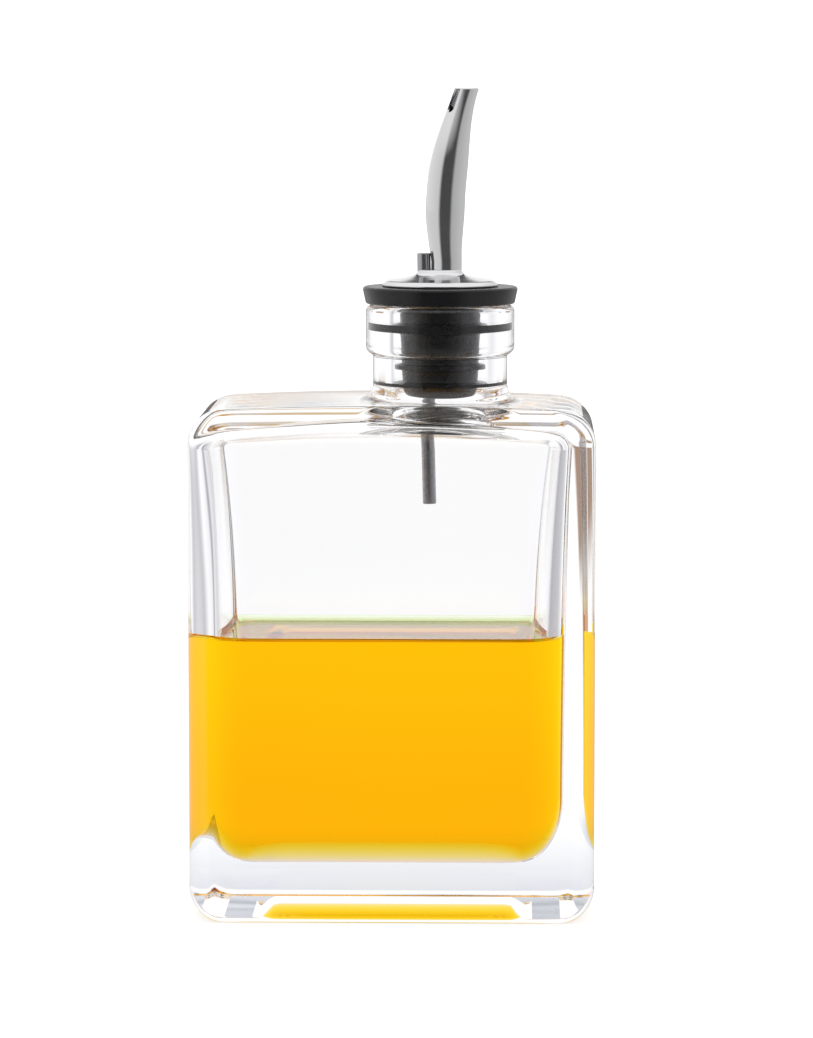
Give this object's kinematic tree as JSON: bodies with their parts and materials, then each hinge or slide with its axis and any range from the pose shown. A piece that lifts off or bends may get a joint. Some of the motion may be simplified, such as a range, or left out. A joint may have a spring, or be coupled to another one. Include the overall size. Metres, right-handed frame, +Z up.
{
  "type": "glass oil bottle",
  "caption": "Rectangular clear glass bottle of golden oil with an off-centre neck and a push-in metal pourer in a black rubber stopper.",
  "frame": {"origin": "centre of the bottle's footprint, on the surface it stands on", "axes": "+Z up, front face towards -Y, neck and pourer towards +X"},
  "size_m": [0.078, 0.045, 0.1594],
  "materials": {
    "glass": "clear polished soda-lime glass",
    "oil": "clear golden liquid",
    "stopper_rubber": "satin black moulded rubber",
    "bright_metal": "polished",
    "tube_steel": "drawn stainless tube"
  },
  "bodies": {
    "bottle": {"glass_bottle": "glass", "oil_fill": "oil"},
    "stopper": {"rubber_stopper": "stopper_rubber"},
    "pourer": {"collar": "bright_metal", "flow_tube": "tube_steel", "pour_spout": "bright_metal", "breather_tube": "tube_steel"}
  },
  "joints": [
    {"name": "stopper_pull", "type": "slide", "parent": "bottle", "child": "stopper", "axis": [0, 0, 1], "range_m": [0, 0.06]},
    {"name": "spout_swivel", "type": "hinge", "parent": "stopper", "child": "pourer", "pos_m": [0.009, 0, 0.12], "axis": [0, 0, 1], "continuous": true}
  ]
}
